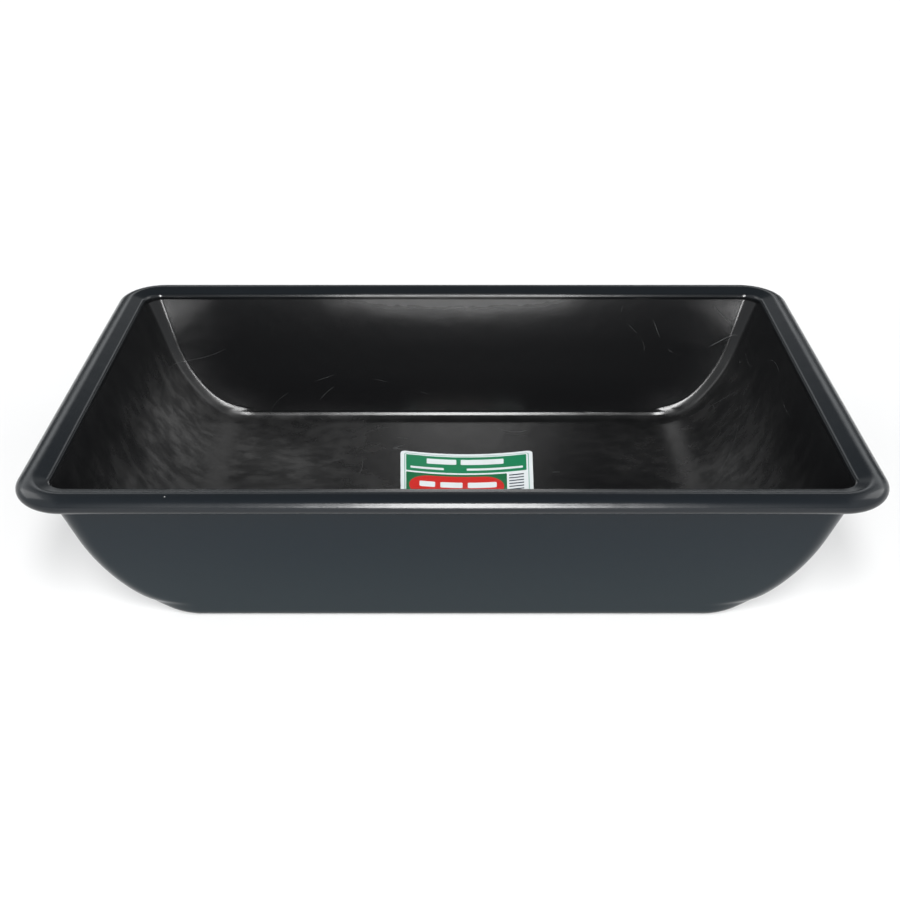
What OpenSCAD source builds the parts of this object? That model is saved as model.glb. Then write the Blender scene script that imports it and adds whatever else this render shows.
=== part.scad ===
// Mortar mixing tub: one thick black polyethylene moulding with sloping ends,
// a heavy rounded rim, and a printed adhesive label on the inside floor.
// Origin: centre of the flat underside. X runs along the length, Z is up.

/* [Tub] */
// Overall length over the rim
tub_l = 914; // [700:1:1200]
// Overall width over the rim
tub_w = 610; // [450:1:800]
// Overall height
tub_h = 185; // [145:1:240]
// Thickness of the floor and of the walls
wall = 6; // [3:0.5:8]

/* [Ends] */
// Outside radius of the lower part of each end's curve
end_r_low = 109; // [80:1:140]
// Outside radius of the upper part of each end's curve
end_r_high = 207; // [160:1:260]
// Slope of the end walls where they reach the rim, in degrees from level
end_slope = 69.5; // [62:0.5:78]

/* [Long sides] */
// Lean of the long walls, in degrees from upright
side_lean = 11; // [6:0.2:16]
// Outside radius between the floor and a long wall
foot_r = 10.5; // [6:0.5:16]
// Inside radius between the floor and a long wall
inside_foot_r = 11; // [3:0.5:12]
// Outside radius of the upright corners at the floor
foot_corner_r = 19; // [12:0.5:22]

/* [Rim] */
// Width of the rim, from its inner edge to its nose
rim_w = 35.5; // [30:0.5:44]
// Depth of the rim
rim_t = 21; // [14:0.5:26]
// Depth of the rounded nose, measured across the rim
rim_nose = 15.5; // [8:0.5:18]
// How much the top falls from its crest towards the inside, in degrees
rim_fall = 16; // [4:1:24]
// Radius of the crest, where the top starts to fall
rim_crest_r = 18; // [8:1:22]
// Radius of the rim's inner edge
rim_edge_r = 6; // [3:0.5:8]
// Radius of the fillet under the rim
rim_root_r = 3; // [1:0.5:5]
// Outside radius of the rim's corners, in plan
rim_corner_r = 57; // [50:1:90]

/* [Label] */
// Width of the label along its far edge
label_w = 179; // [120:1:220]
// Length of the label, from its far edge to its near edge
label_l = 200; // [120:1:260]
// How much narrower the near edge is than the far edge
label_taper = 14; // [0:1:30]
// How far the middle of both curved edges dips towards the near side
label_dip = 12; // [2:0.5:20]
// Radius of the label's corners
label_corner_r = 8; // [3:0.5:15]
// Thickness of the label
label_t = 0.3; // [0.2:0.1:1]
// Distance of the label's centre line from the tub's, along the length
label_x = 19; // [-60:1:60]
// Distance of the label's far corners from the tub's centre line
label_far_y = 138; // [90:1:160]

/* [Hidden] */

tub_colour = [0.09, 0.095, 0.1];
label_colour = [0.05, 0.42, 0.26];

// Facets: steps around one corner, and degrees between levels of a curve
corner_steps = 10;
curve_step = 5;
nose_step = 15;
crest_step = 4;
edge_steps = 8;
// Smallest corner radius in plan, used where a corner runs out on the floor
least_r = 1;

// The end curve changes radius at this slope, in degrees from level
bend = 45;
low_z = end_r_low;
high_c = [(end_r_low - end_r_high) * sin(bend), low_z - (end_r_low - end_r_high) * cos(bend)];

// The top's inside slope runs from the crest's arc to the inner edge's arc
crest_d = rim_w - rim_nose;
slope_run = crest_d - rim_crest_r * sin(rim_fall) - rim_edge_r * (1 - sin(rim_fall));
edge_z = tub_h - rim_crest_r * (1 - cos(rim_fall)) - slope_run * tan(rim_fall)
    - rim_edge_r * cos(rim_fall);
// The inner edge rolls this far under itself, in degrees, before it meets the wall
edge_tuck = 24;
// The wall meets the rim's inner edge here
lip_d = rim_edge_r * (1 - cos(edge_tuck));
lip_z = edge_z - rim_edge_r * sin(edge_tuck);
// Underside of the rim, and the height where its fillet leaves the wall
under_z = tub_h - rim_t;
root_z = under_z - rim_root_r;
// Corner radii in plan: the rim's inner edge, and the outside wall at the top
inner_corner_r = rim_corner_r - rim_w;
top_corner_r = inner_corner_r + wall;

// How far the end curve has run out at height z. inset is measured square to
// the outside surface: 0 gives the outside and wall gives the inside.
function end_run(z, inset) =
    let (low = end_r_low - inset,
         high = end_r_high - inset,
         bend_z = low_z - low * cos(bend),
         top_z = high_c[1] - high * cos(end_slope),
         h = max(z, inset))
    h <= bend_z ? sqrt(max(0, low * low - pow(low_z - h, 2)))
    : h <= top_z ? high_c[0] + sqrt(high * high - pow(high_c[1] - h, 2))
    : high_c[0] + high * sin(end_slope) + (h - top_z) / tan(end_slope);

// Half length of the flat floor: what the curve leaves of the half length
floor_half_l = tub_l / 2 - rim_w + lip_d + wall / sin(end_slope) - end_run(lip_z, 0);

// Half length at height z
function half_l(z, inset) = floor_half_l + end_run(z, inset);

// Half width of the straight part of a long wall at height z
function straight_half_w(z, inset) =
    tub_w / 2 - rim_w + lip_d + (wall - inset) / cos(side_lean) - (lip_z - z) * tan(side_lean);

// Half width at height z, with a fillet of radius r between floor and wall
function half_w(z, inset, r) =
    let (h = z - inset,
         start = straight_half_w(inset, inset) - r * tan((90 - side_lean) / 2))
    h < r * (1 - sin(side_lean)) ? start + sqrt(max(0, r * r - pow(r - h, 2)))
    : straight_half_w(z, inset);

// Corner radius in plan at height z: small at the floor and larger at the rim
function corner_r(z, inset) =
    foot_corner_r - inset + (top_corner_r - foot_corner_r) * pow(z / tub_h, 2);

// A rounded rectangle at height z, as corner_steps + 1 points for each corner
function ring(a, b, rx, ry, z) =
    [for (q = [0:3])
        for (i = [0:corner_steps])
            let (t = 90 * (q + i / corner_steps),
                 sx = (q == 0 || q == 3) ? 1 : -1,
                 sy = (q == 0 || q == 1) ? 1 : -1)
            [sx * (a - rx) + rx * cos(t), sy * (b - ry) + ry * sin(t), z]];

// A ring on the outside (inset 0) or inside (inset wall) of the walls
function wall_ring(z, inset, r) =
    let (c = corner_r(z, inset),
         h = min(1, (z - inset) / c),
         a = half_l(z, inset))
    ring(a, half_w(z, inset, r),
         max(least_r, a - half_l(z, inset + c)),
         max(least_r, c * sqrt(max(0, 1 - pow(1 - h, 2)))), z);

// A ring of the rim, d outwards from the rim's inner edge
function rim_ring(d, z) =
    let (r = inner_corner_r + d)
    ring(tub_l / 2 - rim_w + d, tub_w / 2 - rim_w + d, r, r, z);

// Heights of the wall rings, from the floor to just under top
function wall_levels(inset, top) =
    let (straight_z = high_c[1] - (end_r_high - inset) * cos(end_slope),
         levels = concat(
             [for (t = [0:curve_step:bend]) low_z - (end_r_low - inset) * cos(t)],
             [for (t = [bend + curve_step:curve_step:end_slope - 1])
                 high_c[1] - (end_r_high - inset) * cos(t)],
             [for (k = [0:2]) straight_z + k * (top - straight_z) / 3]))
    [for (z = levels) if (z < top - 2) z];

// The wall, grown by the fillet, where it meets the underside of the rim
root_half_l = half_l(under_z, 0) + rim_root_r;
root_half_w = half_w(under_z, 0, foot_r) + rim_root_r;
root_corner = corner_r(under_z, 0) + rim_root_r;

tub_rings = concat(
    [for (z = wall_levels(0, root_z)) wall_ring(z, 0, foot_r)],
    [wall_ring(root_z, 0, foot_r)],
    [ring(root_half_l, root_half_w, root_corner, root_corner, under_z)],
    [for (t = [-90:nose_step:90])
        rim_ring(rim_w - rim_nose + rim_nose * cos(t), tub_h - rim_t / 2 + rim_t / 2 * sin(t))],
    [for (t = [crest_step:crest_step:rim_fall])
        rim_ring(crest_d - rim_crest_r * sin(t), tub_h - rim_crest_r * (1 - cos(t)))],
    [for (k = [0:edge_steps])
        let (t = rim_fall + k / edge_steps * (90 + edge_tuck - rim_fall))
        rim_ring(rim_edge_r * (1 - sin(t)), edge_z + rim_edge_r * cos(t))],
    [for (z = reversed(wall_levels(wall, lip_z))) wall_ring(z, wall, inside_foot_r)]);

function reversed(v) = [for (i = [len(v) - 1:-1:0]) v[i]];

// A closed solid through a list of rings that all have the same number of points
module skin(rings) {
    n = len(rings[0]);
    last = len(rings) - 1;
    sides = [for (k = [0:last - 1])
        for (i = [0:n - 1])
            let (a = k * n + i, b = k * n + (i + 1) % n)
            each [[a, a + n, b + n], [a, b + n, b]]];
    polyhedron(
        points = [for (r = rings) each r],
        faces = concat(sides, [[for (i = [0:n - 1]) i]],
                       [[for (i = [n - 1:-1:0]) last * n + i]]));
}

module tub() {
    color(tub_colour) skin(tub_rings);
}

// Outline of the label before its corners are rounded, with its far corners at y = 0
label_points =
    let (steps = 12,
         near_w = label_w - label_taper)
    concat(
        [for (i = [0:steps])
            let (u = 2 * i / steps - 1)
            [u * label_w / 2, -label_dip * (1 - u * u)]],
        [for (i = [0:steps])
            let (u = 1 - 2 * i / steps)
            [u * near_w / 2, -label_l - label_dip * (1 - u * u)]]);

module label() {
    color(label_colour)
        translate([label_x, label_far_y, wall])
            linear_extrude(label_t)
                offset(r = label_corner_r, $fn = 32)
                    offset(delta = -label_corner_r)
                        polygon(label_points);
}

tub();
label();
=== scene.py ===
import math

import bmesh
import bpy
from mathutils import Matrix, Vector


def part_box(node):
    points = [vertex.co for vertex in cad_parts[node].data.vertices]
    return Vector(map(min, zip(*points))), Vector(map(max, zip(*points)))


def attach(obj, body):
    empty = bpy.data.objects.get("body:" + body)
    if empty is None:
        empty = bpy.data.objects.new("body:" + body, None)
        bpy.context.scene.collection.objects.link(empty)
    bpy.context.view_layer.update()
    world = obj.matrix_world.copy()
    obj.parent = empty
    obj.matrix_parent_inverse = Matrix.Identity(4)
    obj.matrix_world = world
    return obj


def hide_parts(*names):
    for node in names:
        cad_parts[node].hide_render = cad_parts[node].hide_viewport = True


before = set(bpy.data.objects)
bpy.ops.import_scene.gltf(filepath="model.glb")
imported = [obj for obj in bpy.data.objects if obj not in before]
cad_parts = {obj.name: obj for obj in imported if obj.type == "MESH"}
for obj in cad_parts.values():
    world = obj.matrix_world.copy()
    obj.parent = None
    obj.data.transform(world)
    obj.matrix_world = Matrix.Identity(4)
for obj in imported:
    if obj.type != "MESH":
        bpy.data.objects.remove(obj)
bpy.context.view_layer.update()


# ---------------------------------------------------------------------------
# TUB
# One thick black polyethylene moulding. It is pulled off a plug in one shot, so
# the floor, the sloping ends, the long walls and the heavy rim are one wall that
# is rolled over into a solid bead at the top.
# ---------------------------------------------------------------------------
tub_low, tub_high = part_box("tub")
half_length_rim = (tub_high.x - tub_low.x) / 2
half_width_rim = (tub_high.y - tub_low.y) / 2
tub_height = tub_high.z

WALL = 0.006
END_RADIUS_LOW = 0.109
END_RADIUS_HIGH = 0.207
END_SLOPE = math.radians(69.5)
END_BEND = math.radians(45)
SIDE_LEAN = math.radians(11)
FOOT_RADIUS = 0.0105
INSIDE_FOOT_RADIUS = 0.011
FOOT_CORNER_RADIUS = 0.019

RIM_WIDTH = 0.0355
RIM_DEPTH = 0.021
RIM_NOSE = 0.0155
RIM_FALL = math.radians(16)
RIM_CREST_RADIUS = 0.018
RIM_EDGE_RADIUS = 0.006
RIM_EDGE_TUCK = math.radians(24)
RIM_ROOT_RADIUS = 0.003
RIM_CORNER_RADIUS = 0.057

crest_out = RIM_WIDTH - RIM_NOSE
slope_run = (crest_out - RIM_CREST_RADIUS * math.sin(RIM_FALL)
             - RIM_EDGE_RADIUS * (1 - math.sin(RIM_FALL)))
edge_height = (tub_height - RIM_CREST_RADIUS * (1 - math.cos(RIM_FALL))
               - slope_run * math.tan(RIM_FALL) - RIM_EDGE_RADIUS * math.cos(RIM_FALL))
lip_out = RIM_EDGE_RADIUS * (1 - math.cos(RIM_EDGE_TUCK))
lip_height = edge_height - RIM_EDGE_RADIUS * math.sin(RIM_EDGE_TUCK)
under_height = tub_height - RIM_DEPTH
inner_corner_radius = RIM_CORNER_RADIUS - RIM_WIDTH
high_centre = ((END_RADIUS_LOW - END_RADIUS_HIGH) * math.sin(END_BEND),
               END_RADIUS_LOW - (END_RADIUS_LOW - END_RADIUS_HIGH) * math.cos(END_BEND))


def end_run(z, inset):
    """How far the curved end has run out at height z, inset square to its outside."""
    low = END_RADIUS_LOW - inset
    high = END_RADIUS_HIGH - inset
    bend_z = END_RADIUS_LOW - low * math.cos(END_BEND)
    straight_z = high_centre[1] - high * math.cos(END_SLOPE)
    z = max(z, inset)
    if z <= bend_z:
        return math.sqrt(max(0, low ** 2 - (END_RADIUS_LOW - z) ** 2))
    if z <= straight_z:
        return high_centre[0] + math.sqrt(high ** 2 - (high_centre[1] - z) ** 2)
    return high_centre[0] + high * math.sin(END_SLOPE) + (z - straight_z) / math.tan(END_SLOPE)


floor_half_length = (half_length_rim - RIM_WIDTH + lip_out + WALL / math.sin(END_SLOPE)
                     - end_run(lip_height, 0))


def straight_half_width(z, inset):
    """Half width of the flat part of a long wall at height z."""
    return (half_width_rim - RIM_WIDTH + lip_out + (WALL - inset) / math.cos(SIDE_LEAN)
            - (lip_height - z) * math.tan(SIDE_LEAN))


def half_width(z, inset, fillet):
    """Half width at height z, with the fillet between floor and long wall."""
    up = z - inset
    start = straight_half_width(inset, inset) - fillet * math.tan((math.pi / 2 - SIDE_LEAN) / 2)
    if up < fillet * (1 - math.sin(SIDE_LEAN)):
        return start + math.sqrt(max(0, fillet ** 2 - (fillet - up) ** 2))
    return straight_half_width(z, inset)


def corner_radius(z, inset):
    """Radius of the upright corners in plan, which open out towards the rim."""
    opening = inner_corner_radius + WALL - FOOT_CORNER_RADIUS
    return FOOT_CORNER_RADIUS - inset + opening * (z / tub_height) ** 2


# Smallest corner radius in plan, used where a corner runs out on the floor
LEAST_RADIUS = 0.001
CORNER_STEPS = 14
LONG_STEPS = 44
SHORT_STEPS = 28
WALL_STEP = math.radians(2.5)
WALL_STRAIGHT_STEPS = 9
ROOT_STEPS = 5
NOSE_STEPS = 26
CREST_STEPS = 6
EDGE_STEPS = 20

# The places round one outline: the two corners that a place lies between, the angle on
# their arcs, and how far it is along the straight side from the first to the second.
places = []
for corner in range(4):
    for step in range(CORNER_STEPS + 1):
        angle = (corner + step / CORNER_STEPS) * math.pi / 2
        places.append((corner, corner, angle, 0))
    side_steps = LONG_STEPS if corner % 2 == 0 else SHORT_STEPS
    turn = (corner + 1) * math.pi / 2
    for step in range(1, side_steps):
        places.append((corner, (corner + 1) % 4, turn, step / side_steps))


def corner_point(corner, angle, level):
    """A point on one corner's arc at a level: half length, half width, two radii, height."""
    a, b, rx, ry, z = level
    sx = 1 if corner in (0, 3) else -1
    sy = 1 if corner in (0, 1) else -1
    return Vector((sx * (a - rx) + rx * math.cos(angle), sy * (b - ry) + ry * math.sin(angle), z))


def outline_point(place, level):
    """Where one place of the outline lies at a level."""
    first, second, angle, share = place
    return corner_point(first, angle, level).lerp(corner_point(second, angle, level), share)


def wall_level(z, inset, fillet):
    """The outline of the wall's outside or inside at height z."""
    c = corner_radius(z, inset)
    a = end_run(z, inset) + floor_half_length
    up = min(1, (z - inset) / c)
    rx = a - floor_half_length - end_run(z, inset + c)
    ry = c * math.sqrt(max(0, 1 - (1 - up) ** 2))
    return (a, half_width(z, inset, fillet), max(LEAST_RADIUS, rx), max(LEAST_RADIUS, ry), z)


def rim_level(out, z):
    """The outline of the rim, out from its inner edge."""
    r = inner_corner_radius + out
    return (half_length_rim - RIM_WIDTH + out, half_width_rim - RIM_WIDTH + out, r, r, z)


def wall_heights(inset, top):
    """Heights of the levels up a wall: even steps of angle round the end's curve."""
    heights = []
    turn = 0
    while turn < END_SLOPE - WALL_STEP / 2:
        if turn <= END_BEND + 1e-6:
            heights.append(END_RADIUS_LOW - (END_RADIUS_LOW - inset) * math.cos(turn))
        else:
            heights.append(high_centre[1] - (END_RADIUS_HIGH - inset) * math.cos(turn))
        turn += WALL_STEP
    straight_z = high_centre[1] - (END_RADIUS_HIGH - inset) * math.cos(END_SLOPE)
    rise = (top - straight_z) / WALL_STRAIGHT_STEPS
    return heights + [straight_z + k * rise for k in range(WALL_STRAIGHT_STEPS)]


# Every level of the skin, from the underside over the rim to the inside floor, and how
# far inside it is: 0 outside and on the rim, 1 inside, and between them on the inner edge
root_height = under_height - RIM_ROOT_RADIUS
levels = [(wall_level(z, 0, FOOT_RADIUS), 0.0) for z in wall_heights(0, root_height)]
for step in range(ROOT_STEPS + 1):
    angle = step / ROOT_STEPS * math.pi / 2
    grow = RIM_ROOT_RADIUS * (1 - math.cos(angle))
    z = root_height + RIM_ROOT_RADIUS * math.sin(angle)
    a, b, rx, ry, _ = wall_level(z, 0, FOOT_RADIUS)
    levels.append(((a + grow, b + grow, rx + grow, ry + grow, z), 0.0))
for step in range(NOSE_STEPS + 1):
    angle = (step / NOSE_STEPS - 0.5) * math.pi
    levels.append((rim_level(crest_out + RIM_NOSE * math.cos(angle),
                             tub_height - RIM_DEPTH / 2 + RIM_DEPTH / 2 * math.sin(angle)), 0.0))
for step in range(1, CREST_STEPS + 1):
    angle = step / CREST_STEPS * RIM_FALL
    levels.append((rim_level(crest_out - RIM_CREST_RADIUS * math.sin(angle),
                             tub_height - RIM_CREST_RADIUS * (1 - math.cos(angle))), 0.0))
for step in range(EDGE_STEPS + 1):
    angle = RIM_FALL + step / EDGE_STEPS * (math.pi / 2 + RIM_EDGE_TUCK - RIM_FALL)
    levels.append((rim_level(RIM_EDGE_RADIUS * (1 - math.sin(angle)),
                             edge_height + RIM_EDGE_RADIUS * math.cos(angle)), step / EDGE_STEPS))
# Two close levels under the rim keep its edge crisp
CLOSE_GAPS = (0.0025, 0.0006)
CLEAR_GAP = 0.004
inside_heights = [z for z in wall_heights(WALL, lip_height) if z < lip_height - CLEAR_GAP]
inside_heights += [lip_height - gap for gap in CLOSE_GAPS]
levels += [(wall_level(z, WALL, INSIDE_FOOT_RADIUS), 1.0) for z in reversed(inside_heights)]

# The floor and the ends are rubbed, and the long walls only this close to the floor
RUB_START = 0.002
RUB_FADE = 0.006
# The long walls are scuffed for a little way under the rim, in the middle of the tub, and are painted
# paler there as a painted glow of the lamps reflected in the wall's top
GLOW_SCUFF_DEPTH = 0.055
GLOW_SCUFF_HALF_LENGTH = 0.19

# The flat floors are closed inside a border, so that their shading stays flat
FLOOR_BORDER = 0.004


def floor_level(z, inset, fillet):
    """The outline of a floor's flat middle."""
    a, b, rx, ry, _ = wall_level(z, inset, fillet)
    return (a - FLOOR_BORDER, b - FLOOR_BORDER, rx, ry, z)


levels.insert(0, (floor_level(0, 0, FOOT_RADIUS), 0.0))
levels.append((floor_level(WALL, WALL, INSIDE_FOOT_RADIUS), 1.0))

shape = bmesh.new()
place_of = shape.verts.layers.int.new("place")
inside_of = shape.verts.layers.float.new("inside")
rubbed_of = shape.verts.layers.float.new("rubbed")
scuffed_and_glow_of = shape.verts.layers.float.new("scuffed_and_glow")
edge_ring = bmesh.ops.create_circle(shape, segments=len(places), radius=0.1)["verts"]
for i, v in enumerate(edge_ring):
    v[place_of] = i
edges = list(shape.edges)
first_edges = edges
for number, (level, inside) in enumerate(levels):
    if number:
        grown = bmesh.ops.extrude_edge_only(shape, edges=edges)["geom"]
        edge_ring = [g for g in grown if isinstance(g, bmesh.types.BMVert)]
        edges = [g for g in grown if isinstance(g, bmesh.types.BMEdge)]
    for v in edge_ring:
        place = places[v[place_of]]
        v.co = outline_point(place, level)
        v[inside_of] = inside
        on_end = abs(math.cos(place[2]))
        near_floor = 1 - min(1, max(0, (v.co.z - WALL - RUB_START) / RUB_FADE))
        v[rubbed_of] = inside * max(on_end, near_floor)
        # Scuffed, and painted with a glow of reflected lamp light, near the top of the long walls in
        # the middle
        near_top = max(0, 1 - (tub_height - v.co.z) / GLOW_SCUFF_DEPTH)
        v[scuffed_and_glow_of] = inside * near_top ** 3 * max(0, 1 - (v.co.x / GLOW_SCUFF_HALF_LENGTH) ** 2)
for open_edges in (first_edges, edges):
    bmesh.ops.edgeloop_fill(shape, edges=open_edges)
bmesh.ops.recalc_face_normals(shape, faces=shape.faces)
for face in shape.faces:
    face.smooth = True

tub_mesh = bpy.data.meshes.new("tub_shell")
shape.to_mesh(tub_mesh)
shape.free()
tub_shell = bpy.data.objects.new("tub_shell", tub_mesh)
bpy.context.scene.collection.objects.link(tub_shell)


def add_node(tree, kind, inputs=None, **settings):
    """Adds a node, sets its properties, and sets or links its inputs."""
    node = tree.nodes.new(kind)
    for name, value in settings.items():
        setattr(node, name, value)
    for name, value in (inputs or {}).items():
        if isinstance(value, bpy.types.NodeSocket):
            tree.links.new(value, node.inputs[name])
        else:
            node.inputs[name].default_value = value
    return node


def new_material(name):
    """An empty node material with its Principled shader."""
    material = bpy.data.materials.new(name)
    material.use_nodes = True
    return material, material.node_tree, material.node_tree.nodes["Principled BSDF"]


# Inputs of the groups below that take a vector; the others take a number
VECTOR_INPUTS = ("Stretch", "Centre", "Half")


def new_group(name, inputs, output):
    """A node group that takes a Vector and some numbers, and gives one value."""
    group = bpy.data.node_groups.new(name, "ShaderNodeTree")
    group.interface.new_socket("Vector", in_out="INPUT", socket_type="NodeSocketVector")
    for socket in inputs:
        kind = "NodeSocketVector" if socket in VECTOR_INPUTS else "NodeSocketFloat"
        group.interface.new_socket(socket, in_out="INPUT", socket_type=kind)
    group.interface.new_socket(output, in_out="OUTPUT", socket_type="NodeSocketFloat")
    start = group.nodes.new("NodeGroupInput")
    end = group.nodes.new("NodeGroupOutput")
    return group, start.outputs, end.inputs[output]


def math_node(tree, operation, first, second=0.0, third=0.0, clamp=False):
    """One Math node; returns its output."""
    return add_node(tree, "ShaderNodeMath", {0: first, 1: second, 2: third},
                    operation=operation, use_clamp=clamp).outputs[0]


def blend_colour(tree, mask, first, second):
    """Goes from the first colour to the second where a mask is 1; returns its output."""
    return add_node(tree, "ShaderNodeMix", {0: mask, 6: first, 7: second},
                    data_type="RGBA").outputs[2]


def ramp(tree, value, low, high, out_low=0.0, out_high=1.0):
    """A smooth step of a value from one range to another; returns its output."""
    return add_node(tree, "ShaderNodeMapRange",
                    {"Value": value, "From Min": low, "From Max": high,
                     "To Min": out_low, "To Max": out_high},
                    interpolation_type="SMOOTHSTEP").outputs["Result"]


def use_group(tree, group, vector, **values):
    """Places a node group; returns its one output."""
    node = tree.nodes.new("ShaderNodeGroup")
    node.node_tree = group
    tree.links.new(vector, node.inputs["Vector"])
    for name, value in values.items():
        node.inputs[name].default_value = value
    return node.outputs[0]


# Rubbed and chalky patches: a stretched noise, cut to a soft mask
patches, given, result = new_group("patches", ("Stretch", "Scale", "From", "To"), "Mask")
drawn = add_node(patches, "ShaderNodeVectorMath", {0: given["Vector"], 1: given["Stretch"]},
                 operation="MULTIPLY").outputs[0]
cloud = add_node(patches, "ShaderNodeTexNoise",
                 {"Vector": drawn, "Scale": given["Scale"], "Detail": 5.0, "Roughness": 0.55})
patches.links.new(ramp(patches, cloud.outputs["Fac"], given["From"], given["To"]), result)

# Hairline scratches: the level lines of a smooth noise, broken up by another
hairlines, given, result = new_group("hairlines", ("Stretch", "Scale", "Width", "Rarity"), "Mask")
drawn = add_node(hairlines, "ShaderNodeVectorMath", {0: given["Vector"], 1: given["Stretch"]},
                 operation="MULTIPLY").outputs[0]
bends = add_node(hairlines, "ShaderNodeTexNoise",
                 {"Vector": drawn, "Scale": given["Scale"], "Detail": 1.0})
away = math_node(hairlines, "ABSOLUTE", math_node(hairlines, "SUBTRACT", bends.outputs["Fac"], 0.5))
line = math_node(hairlines, "SUBTRACT", 1.0, math_node(hairlines, "DIVIDE", away, given["Width"]),
                 clamp=True)
breaks = add_node(hairlines, "ShaderNodeTexNoise",
                  {"Vector": given["Vector"], "Scale": 17.0, "Detail": 3.0})
part = ramp(hairlines, breaks.outputs["Fac"], given["Rarity"],
            math_node(hairlines, "ADD", given["Rarity"], 0.12))
hairlines.links.new(math_node(hairlines, "MULTIPLY", line, part), result)

# Specks of grit: a dot in some of the cells of a Voronoi pattern
specks, given, result = new_group("specks", ("Scale", "Size", "Rarity"), "Mask")
cells = add_node(specks, "ShaderNodeTexVoronoi", {"Vector": given["Vector"], "Scale": given["Scale"]})
dot = math_node(specks, "LESS_THAN", cells.outputs["Distance"], given["Size"])
chosen = add_node(specks, "ShaderNodeSeparateColor", {"Color": cells.outputs["Color"]})
kept = math_node(specks, "GREATER_THAN", chosen.outputs["Red"], given["Rarity"])
specks.links.new(math_node(specks, "MULTIPLY", dot, kept), result)

WALL_BLACK = (0.0012, 0.0042, 0.007, 1)
# Painted reflected light: the paler tone the outside takes towards the floor
WALL_PAINTED_LIGHT = (0.006, 0.0105, 0.013, 1)
RIM_BLACK = (0.005, 0.0064, 0.008, 1)
INSIDE_BLACK = (0.0034, 0.0035, 0.0038, 1)
# Chalk grey, also used for the painted glow under the rim
CHALK_AND_GLOW = (0.046, 0.0455, 0.045, 1)
SCRATCH_GREY = (0.14, 0.145, 0.145, 1)
GRIT_WHITE = (0.45, 0.45, 0.44, 1)

polyethylene, tree, skin = new_material("black_polyethylene")
coords = add_node(tree, "ShaderNodeTexCoord").outputs["Object"]
inside = add_node(tree, "ShaderNodeAttribute", attribute_name="inside").outputs["Fac"]
rubbed = add_node(tree, "ShaderNodeAttribute", attribute_name="rubbed").outputs["Fac"]
scuffed_and_glow = add_node(tree, "ShaderNodeAttribute", attribute_name="scuffed_and_glow").outputs["Fac"]
axes = add_node(tree, "ShaderNodeSeparateXYZ", {0: coords}).outputs
along, upward = axes["X"], axes["Z"]

# Chalk rubbed into the inside: most at one end, some at the other, little in the middle
broad = use_group(tree, patches, coords, Stretch=(1, 1.3, 1), Scale=4.5, From=0.3, To=0.78)
streaky = use_group(tree, patches, coords, Stretch=(1, 1.7, 1), Scale=10, From=0.3, To=0.8)
mottle = use_group(tree, patches, coords, Stretch=(1, 1.4, 1), Scale=42, From=0.3, To=0.75)
clouds = math_node(tree, "ADD", ramp(tree, broad, 0.0, 1.0, 0.22, 0.56),
                   ramp(tree, streaky, 0.0, 1.0, 0.0, 0.22))
clouds = math_node(tree, "MULTIPLY", clouds, ramp(tree, mottle, 0.0, 1.0, 0.66, 1.28))
left_end = ramp(tree, along, -0.4, 0.02, 1.35, 0.2)
right_end = ramp(tree, along, 0.1, 0.34, 0.0, 0.6)
clouds = math_node(tree, "MULTIPLY", clouds, math_node(tree, "MAXIMUM", left_end, right_end))
clouds = math_node(tree, "MULTIPLY", clouds, ramp(tree, upward, 0.16, 0.03, 0.1, 1.0))
chalk_and_glow = math_node(tree, "MULTIPLY", clouds, rubbed)
# Painted highlight: the scuffs under the rim are also painted pale, standing in for the lamps' glow
# reflected there; from here on the chalk mask carries this painted glow too
painted_glow_scuff = math_node(tree, "MULTIPLY", scuffed_and_glow, ramp(tree, mottle, 0.0, 1.0, 0.65, 1.0))
chalk_and_glow = math_node(tree, "ADD", chalk_and_glow, painted_glow_scuff)

# Scratches all over the inside, and a few specks of grit everywhere
arcs = use_group(tree, hairlines, coords, Stretch=(1, 1, 1.4), Scale=2.6, Width=0.0009, Rarity=0.5)
swirls = use_group(tree, hairlines, coords, Stretch=(0.5, 1.6, 1), Scale=6, Width=0.0016,
                   Rarity=0.55)
scratches = math_node(tree, "MULTIPLY", math_node(tree, "MAXIMUM", arcs, swirls), inside)
grit = use_group(tree, specks, coords, Scale=24, Size=0.02, Rarity=0.86)

# Colour: painted reflected light low on the outside, a greyer rim, then chalk with a painted glow
# under the rim, scratches and grit
# Painted reflected light: the outside is painted lighter towards the bottom, standing in for the
# bright floor reflected in it
painted_floor_light = math_node(tree, "MULTIPLY", ramp(tree, upward, 0.135, 0.0, 0.0, 0.85),
                  math_node(tree, "SUBTRACT", 1.0, inside))
on_rim = ramp(tree, upward, 0.158, 0.166)
tone = blend_colour(tree, painted_floor_light, WALL_BLACK, WALL_PAINTED_LIGHT)
tone = blend_colour(tree, on_rim, tone, RIM_BLACK)
tone = blend_colour(tree, inside, tone, INSIDE_BLACK)
tone = blend_colour(tree, chalk_and_glow, tone, CHALK_AND_GLOW)
tone = blend_colour(tree, math_node(tree, "MULTIPLY", scratches, 0.25), tone, SCRATCH_GREY)
tone = blend_colour(tree, math_node(tree, "MULTIPLY", grit, 0.4), tone, GRIT_WHITE)
tree.links.new(tone, skin.inputs["Base Color"])

# Gloss: chalk, scuffs and scratches are duller than the clean skin
outer_rough = ramp(tree, broad, 0.0, 1.0, 0.18, 0.23)
gloss = add_node(tree, "ShaderNodeMix", {0: inside, 2: outer_rough, 3: 0.16}).outputs[0]
rough = math_node(tree, "ADD", gloss, math_node(tree, "MULTIPLY", chalk_and_glow, 0.55))
rough = math_node(tree, "ADD", rough, math_node(tree, "MULTIPLY", scuffed_and_glow, 0.12))
rough = math_node(tree, "ADD", rough, math_node(tree, "MULTIPLY", scratches, 0.15), clamp=True)
tree.links.new(rough, skin.inputs["Roughness"])

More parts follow.
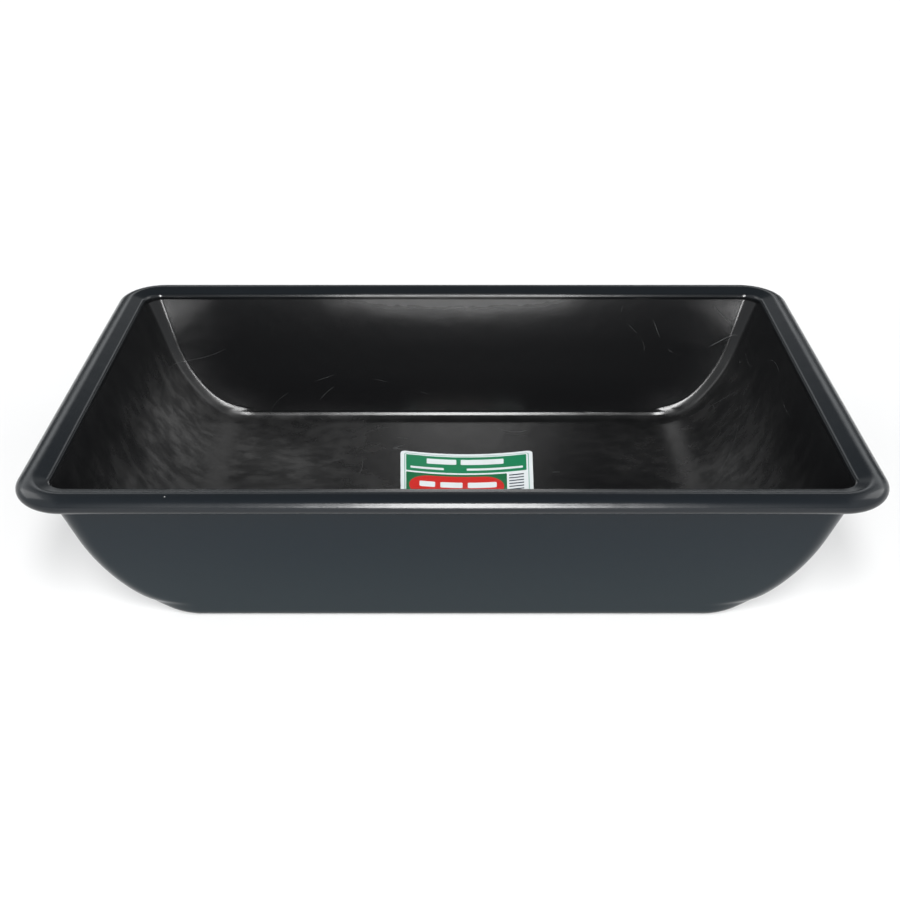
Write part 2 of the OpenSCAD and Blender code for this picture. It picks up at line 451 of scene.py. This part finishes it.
# Relief: a fine grain on a slightly uneven skin, and the scratches cut into it
grain = add_node(tree, "ShaderNodeTexNoise", {"Vector": coords, "Scale": 420.0, "Detail": 3.0})
peel = add_node(tree, "ShaderNodeTexNoise", {"Vector": coords, "Scale": 38.0, "Detail": 1.0})
height = math_node(tree, "ADD", math_node(tree, "MULTIPLY", grain.outputs["Fac"], 0.12),
                   peel.outputs["Fac"])
height = math_node(tree, "SUBTRACT", height, math_node(tree, "MULTIPLY", scratches, 0.2))
relief = add_node(tree, "ShaderNodeBump", {"Height": height, "Strength": 0.4, "Distance": 0.0004})
tree.links.new(relief.outputs["Normal"], skin.inputs["Normal"])
skin.inputs["Specular IOR Level"].default_value = 0.31
tub_mesh.materials.append(polyethylene)

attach(tub_shell, "root")
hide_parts("tub")


# ---------------------------------------------------------------------------
# LABEL
# A printed film stuck to the inside floor, die-cut with gently curved ends. It
# carries plain blocks of print only: a green field, a red panel and dark stripes.
# ---------------------------------------------------------------------------
label_low, label_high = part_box("label")
LABEL_WIDTH = 0.179
LABEL_LENGTH = 0.2
LABEL_TAPER = 0.014
LABEL_DIP = 0.012
LABEL_CORNER = 0.008
LABEL_X = 0.019
LABEL_FAR_Y = 0.138
EDGE_CUTS = 24

film = bmesh.new()
bmesh.ops.create_grid(film, x_segments=1, y_segments=1, size=0.5)
bmesh.ops.scale(film, verts=film.verts, vec=(LABEL_WIDTH, LABEL_LENGTH, 1))
bmesh.ops.bevel(film, geom=film.verts, offset=LABEL_CORNER, offset_type="OFFSET", segments=6,
                profile=0.5, affect="VERTICES", material=-1)
ends = [e for e in film.edges if abs(e.verts[0].co.y - e.verts[1].co.y) < 1e-6
        and e.calc_length() > LABEL_WIDTH / 2]
bmesh.ops.subdivide_edges(film, edges=ends, cuts=EDGE_CUTS)
for v in film.verts:
    down = 0.5 - v.co.y / LABEL_LENGTH
    across = 2 * v.co.x / LABEL_WIDTH
    v.co.x *= 1 - down * LABEL_TAPER / LABEL_WIDTH
    v.co.y -= LABEL_DIP * (1 - across ** 2)
bmesh.ops.translate(film, verts=film.verts,
                    vec=(LABEL_X, LABEL_FAR_Y - LABEL_LENGTH / 2, label_low.z))
grown = bmesh.ops.extrude_face_region(film, geom=film.faces)["geom"]
bmesh.ops.translate(film, verts=[g for g in grown if isinstance(g, bmesh.types.BMVert)],
                    vec=(0, 0, label_high.z - label_low.z))
bmesh.ops.recalc_face_normals(film, faces=film.faces)
label_mesh = bpy.data.meshes.new("floor_label")
film.to_mesh(label_mesh)
film.free()
floor_label = bpy.data.objects.new("floor_label", label_mesh)
bpy.context.scene.collection.objects.link(floor_label)

# A printed block with round corners, measured in metres on the flat artwork
block, given, result = new_group("print_block", ("Centre", "Half", "Corner"), "Mask")
offset = add_node(block, "ShaderNodeVectorMath", {0: given["Vector"], 1: given["Centre"]},
                  operation="SUBTRACT").outputs[0]
offset = add_node(block, "ShaderNodeVectorMath", {0: offset}, operation="ABSOLUTE").outputs[0]
offset = add_node(block, "ShaderNodeVectorMath", {0: offset, 1: given["Half"]},
                  operation="SUBTRACT").outputs[0]
corner_vector = add_node(block, "ShaderNodeCombineXYZ", {0: given["Corner"], 1: given["Corner"]})
offset = add_node(block, "ShaderNodeVectorMath", {0: offset, 1: corner_vector.outputs[0]},
                  operation="ADD").outputs[0]
beyond = add_node(block, "ShaderNodeVectorMath", {0: offset, 1: (0, 0, 0)}, operation="MAXIMUM")
flat = add_node(block, "ShaderNodeVectorMath", {0: beyond.outputs[0], 1: (1, 1, 0)},
                operation="MULTIPLY")
reach = add_node(block, "ShaderNodeVectorMath", {0: flat.outputs[0]}, operation="LENGTH")
edge = math_node(block, "SUBTRACT", reach.outputs["Value"], given["Corner"])
block.links.new(ramp(block, edge, 0.00015, -0.00015), result)

varnished, tree, skin = new_material("printed_film")
coords = add_node(tree, "ShaderNodeTexCoord").outputs["Object"]
# The artwork's own flat coordinates: centred on the far edge, with the taper and bow undone
centred = add_node(tree, "ShaderNodeMapping", {"Vector": coords,
                   "Location": (-LABEL_X, -LABEL_FAR_Y, 0)}).outputs[0]
parts = add_node(tree, "ShaderNodeSeparateXYZ", {0: centred}).outputs
narrow = math_node(tree, "MULTIPLY_ADD", parts["Y"], LABEL_TAPER / LABEL_WIDTH / LABEL_LENGTH, 1)
art_x = math_node(tree, "DIVIDE", parts["X"], narrow)
bow = math_node(tree, "POWER", math_node(tree, "DIVIDE", art_x, LABEL_WIDTH / 2), 2)
bow = math_node(tree, "MULTIPLY", math_node(tree, "SUBTRACT", 1, bow), LABEL_DIP)
art_y = math_node(tree, "ADD", parts["Y"], bow)
artwork = add_node(tree, "ShaderNodeCombineXYZ", {0: art_x, 1: art_y}).outputs[0]

WHITE = (0.62, 0.65, 0.66, 1)
PALE = (0.16, 0.33, 0.27, 1)
HEADER_GREEN = (0.001, 0.155, 0.062, 1)
FIELD_GREEN = (0.001, 0.105, 0.035, 1)
RED = (0.46, 0.013, 0.009, 1)
INK = (0.016, 0.024, 0.04, 1)
DULLED = (0.2, 0.2, 0.19, 1)
# Each printed layer: ink, left, right, far and near edges, and corner radius, in mm
LAYERS = [
    (PALE, -84.5, 84.5, -5, -195, 5), (WHITE, -83.2, 83.2, -6.3, -193.7, 4),
    (HEADER_GREEN, -82, 81, -9, -53, 1.5), (FIELD_GREEN, -82, 54, -57, -160, 1.5),
    (RED, -78, 50, -62.5, -119, 28),
    (WHITE, -54, -14, -16, -30, 1.5), (WHITE, -8, 50, -16, -30, 1.5),
    (WHITE, -76, -31, -40, -45.5, 1), (WHITE, 0, 76, -40, -45.5, 1),
    (WHITE, -64, -43, -78, -92, 2), (WHITE, -36, -6, -78, -92, 2), (WHITE, 1, 40, -78, -92, 2),
    (WHITE, -50, 24, -101, -107, 1.5),
    (WHITE, -72, 44, -128, -132, 1), (WHITE, -72, 44, -139, -143, 1), (WHITE, -72, 10, -150, -154, 1),
    (INK, -80, 36, -167, -169.5, 0.5), (INK, -80, 78, -175, -177.5, 0.5),
    (INK, -80, 60, -183, -185.5, 0.5)]
# A column of short stripes down the right-hand side
STRIPES = 12
STRIPE_PITCH = 7.5
STRIPE_DEPTH = 3
for number in range(STRIPES):
    far = -61 - number * STRIPE_PITCH
    LAYERS.append((INK, 57, 77, far, far - STRIPE_DEPTH, 0.3))
ink = WHITE
for colour, left, right, far, near, radius in LAYERS:
    mask = use_group(tree, block, artwork,
                     Centre=((left + right) / 2000, (far + near) / 2000, 0),
                     Half=((right - left) / 2000, (far - near) / 2000, 0), Corner=radius / 1000)
    ink = blend_colour(tree, mask, ink, colour)
wear = use_group(tree, patches, coords, Stretch=(1, 1, 1), Scale=30, From=0.45, To=0.8)
ink = blend_colour(tree, math_node(tree, "MULTIPLY", wear, 0.12), ink, DULLED)
tree.links.new(ink, skin.inputs["Base Color"])
tree.links.new(ramp(tree, wear, 0.0, 1.0, 0.34, 0.5), skin.inputs["Roughness"])
cockle = add_node(tree, "ShaderNodeTexNoise", {"Vector": coords, "Scale": 22.0, "Detail": 2.0})
relief = add_node(tree, "ShaderNodeBump", {"Height": cockle.outputs["Fac"], "Strength": 0.3,
                                           "Distance": 0.0008})
tree.links.new(relief.outputs["Normal"], skin.inputs["Normal"])
skin.inputs["Specular IOR Level"].default_value = 0.25
label_mesh.materials.append(varnished)

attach(floor_label, "root")
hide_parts("label")


# ---------------------------------------------------------------------------
# SET
# A wide sheet of pale paper, a pale studio round it, soft boxes in front and banks
# at both sides, and a camera that looks down over the near rim into the tub.
# ---------------------------------------------------------------------------
FLOOR_HALF = 30
FLOOR_DROP = 0.0002
ground = bmesh.new()
bmesh.ops.create_grid(ground, x_segments=1, y_segments=1, size=FLOOR_HALF)
bmesh.ops.translate(ground, verts=ground.verts, vec=(0, 0, -FLOOR_DROP))
floor_mesh = bpy.data.meshes.new("floor")
ground.to_mesh(floor_mesh)
ground.free()
floor = bpy.data.objects.new("floor", floor_mesh)
bpy.context.scene.collection.objects.link(floor)
paper, tree, surface = new_material("pale_paper")
surface.inputs["Base Color"].default_value = (0.42, 0.42, 0.42, 1)
surface.inputs["Emission Color"].default_value = (1, 1, 1, 1)
surface.inputs["Emission Strength"].default_value = 0.34
surface.inputs["Roughness"].default_value = 0.9
surface.inputs["Specular IOR Level"].default_value = 0.1
floor_mesh.materials.append(paper)

# The studio is bright at both sides, with a pale band low behind the tub and a pale
# horizon that stops short of the front's flanks, and it is dim overhead
world = bpy.data.worlds.new("studio")
bpy.context.scene.world = world
world.use_nodes = True
tree = world.node_tree
direction = add_node(tree, "ShaderNodeTexCoord").outputs["Generated"]
parts = add_node(tree, "ShaderNodeSeparateXYZ", {0: direction}).outputs
aside = math_node(tree, "ABSOLUTE", parts["X"])
sides = math_node(tree, "MULTIPLY", ramp(tree, aside, 0.3, 0.42),
                  ramp(tree, parts["Y"], 0.8, 0.65))
band = math_node(tree, "MULTIPLY", ramp(tree, parts["Z"], 0.31, 0.39),
                 ramp(tree, parts["Z"], 0.52, 0.44))
band = math_node(tree, "MULTIPLY", band, ramp(tree, parts["Y"], 0.2, 0.5, 0.0, 2.2))
band = math_node(tree, "MULTIPLY", band, ramp(tree, aside, 0.05, 0.22, 0.2, 1.0))
front = ramp(tree, parts["Y"], -0.45, -0.8, 0.0, 0.35)
front_flank = math_node(tree, "MULTIPLY", ramp(tree, parts["Y"], -0.3, -0.6),
                        ramp(tree, aside, 0.05, 0.2))
horizon = math_node(tree, "MULTIPLY", ramp(tree, parts["Z"], 0.13, 0.03, 0.0, 1.2),
                    math_node(tree, "SUBTRACT", 1.0, front_flank))
glow = math_node(tree, "MAXIMUM", math_node(tree, "MAXIMUM", sides, band),
                 math_node(tree, "MAXIMUM", front, horizon))
back = tree.nodes["Background"]
back.inputs["Color"].default_value = (0.95, 0.98, 1.0, 1)
tree.links.new(math_node(tree, "ADD", math_node(tree, "MULTIPLY", glow, 0.8), 0.12),
               back.inputs["Strength"])


def soft_light(name, place, target, size, power):
    """A rectangular softbox at a place, turned to face a target."""
    data = bpy.data.lights.new(name, "AREA")
    data.shape = "RECTANGLE"
    data.size, data.size_y = size
    data.energy = power
    lamp = bpy.data.objects.new(name, data)
    lamp.location = place
    lamp.rotation_euler = (Vector(target) - Vector(place)).to_track_quat("-Z", "Y").to_euler()
    bpy.context.scene.collection.objects.link(lamp)


soft_light("key", (0.03, -2.0, 2.02), (0, 0, 0.1), (0.5, 1.15), 80)
soft_light("front_box", (0.05, -3.2, 1.3), (0, 0, 0.1), (0.7, 1.0), 112)
soft_light("low_front", (0.05, -3.6, 0.45), (0, 0, 0.2), (0.4, 0.45), 20)
soft_light("left_bank", (-3.4, 1.2, 2.6), (0, 1.5, 0), (2.4, 2.4), 42)
soft_light("right_bank", (3.4, 1.2, 2.6), (0, 1.5, 0), (2.4, 2.4), 42)
soft_light("backdrop_wash", (0, 1.6, 2.4), (0, 6, 0), (3.5, 0.6), 170)

SENSOR_WIDTH = 36
FOCAL_LENGTH = 54.5
LOOK_DOWN = math.radians(28.17)
camera_data = bpy.data.cameras.new("camera")
camera_data.sensor_width = SENSOR_WIDTH
camera_data.lens = FOCAL_LENGTH
camera_data.shift_x = -0.00267
camera = bpy.data.objects.new("camera", camera_data)
camera.location = (0, -1.4937, 0.88024)
camera.rotation_euler = (math.pi / 2 - LOOK_DOWN, 0, 0)
bpy.context.scene.collection.objects.link(camera)
bpy.context.scene.camera = camera

bpy.context.scene.view_settings.view_transform = "Standard"
